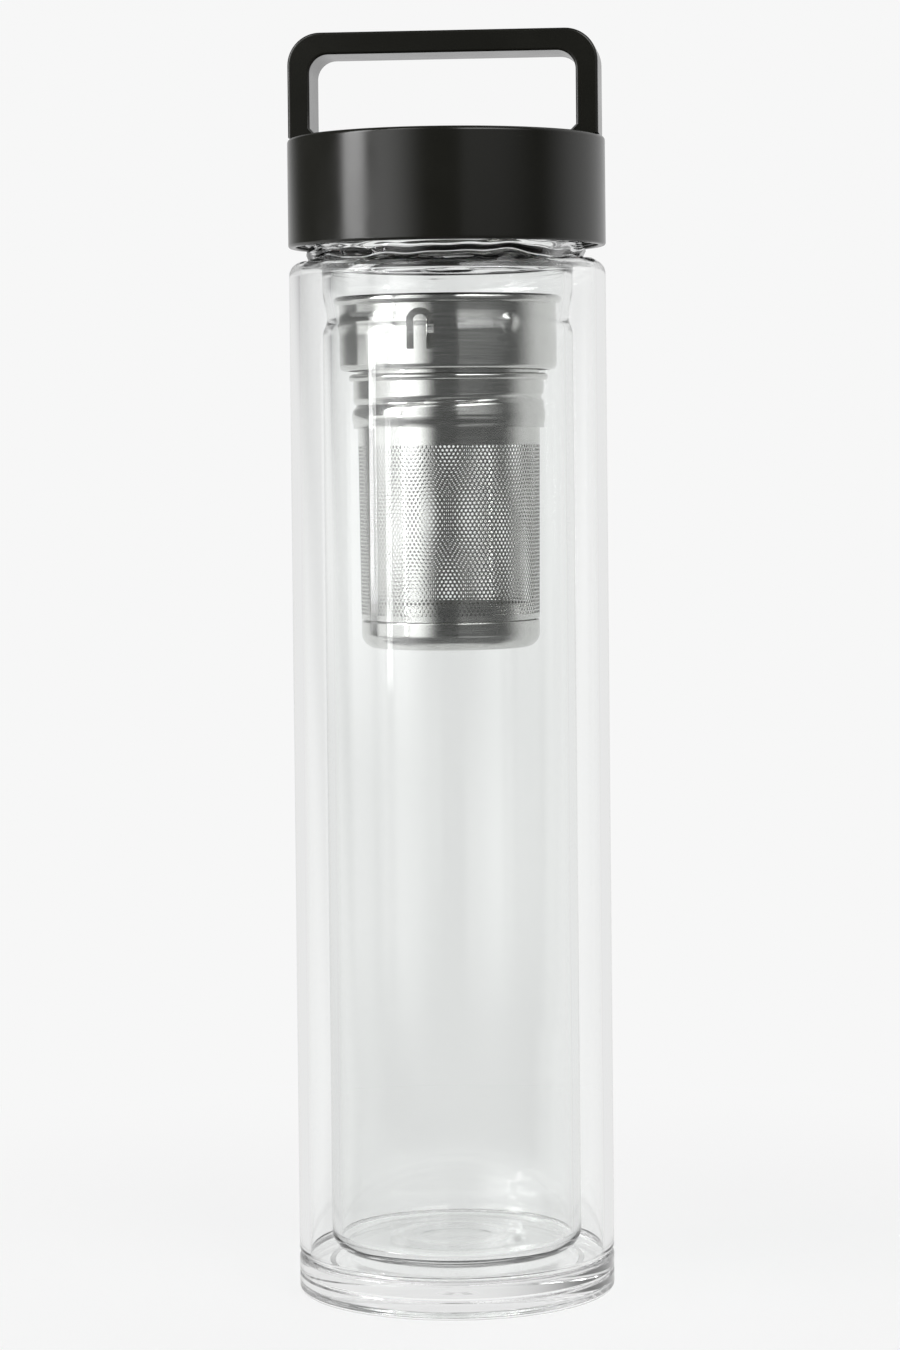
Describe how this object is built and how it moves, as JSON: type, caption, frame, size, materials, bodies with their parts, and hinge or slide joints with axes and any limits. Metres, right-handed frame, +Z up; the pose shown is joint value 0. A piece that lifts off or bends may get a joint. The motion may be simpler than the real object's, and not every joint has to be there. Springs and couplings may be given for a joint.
{
  "type": "glass tea infuser flask",
  "caption": "Double-walled glass tea flask with a black screw cap and loop handle, and a perforated steel infuser that hangs in the neck and whose basket screws off.",
  "frame": {"origin": "centre of the underside, on the surface that the flask stands on", "axes": "+Z up along the flask's axis, +X along the loop handle, -Y towards the front of the picture"},
  "size_m": [0.0672, 0.0672, 0.2661],
  "materials": {
    "clear_glass": "clear borosilicate glass, fire-polished",
    "black_plastic": "satin black moulded polypropylene",
    "liner_plastic": "matt dark moulded polypropylene",
    "silicone": "translucent white silicone rubber",
    "steel": "polished stainless sheet"
  },
  "bodies": {
    "flask": {"outer_glass": "clear_glass", "inner_glass": "clear_glass", "glass_base": "clear_glass", "base_seal_tip": "clear_glass"},
    "seal": {"cap_seal": "silicone"},
    "cap": {"cap_shell": "black_plastic", "carry_handle": "black_plastic", "cap_liner": "liner_plastic", "cap_plate": "liner_plastic"},
    "infuser": {"infuser_collar": "steel", "strainer_plate": "steel", "screw_spigot": "steel"},
    "basket_cup": {"basket_bottom": "steel"},
    "basket": {"basket_ring": "steel", "basket_mesh": "steel"}
  },
  "joints": [
    {"name": "cap_lift", "type": "slide", "parent": "flask", "child": "seal", "axis": [0, 0, 1], "range_m": [0, 0.018]},
    {"name": "cap_turn", "type": "hinge", "parent": "seal", "child": "cap", "pos_m": [0, 0, 0.23], "axis": [0, 0, 1], "range_deg": [0, 1080]},
    {"name": "infuser_lift", "type": "slide", "parent": "flask", "child": "infuser", "axis": [0, 0, 1], "range_m": [0, 0.028]},
    {"name": "basket_drop", "type": "slide", "parent": "infuser", "child": "basket_cup", "axis": [0, 0, -1], "range_m": [0, 0.009]},
    {"name": "basket_turn", "type": "hinge", "parent": "basket_cup", "child": "basket", "pos_m": [0, 0, 0.19], "axis": [0, 0, -1], "range_deg": [0, 900]}
  ],
  "couplings": [
    {"joint": "cap_lift", "follows": "cap_turn", "m_per_rad": 0.00095493},
    {"joint": "basket_drop", "follows": "basket_turn", "m_per_rad": 0.00057296}
  ]
}
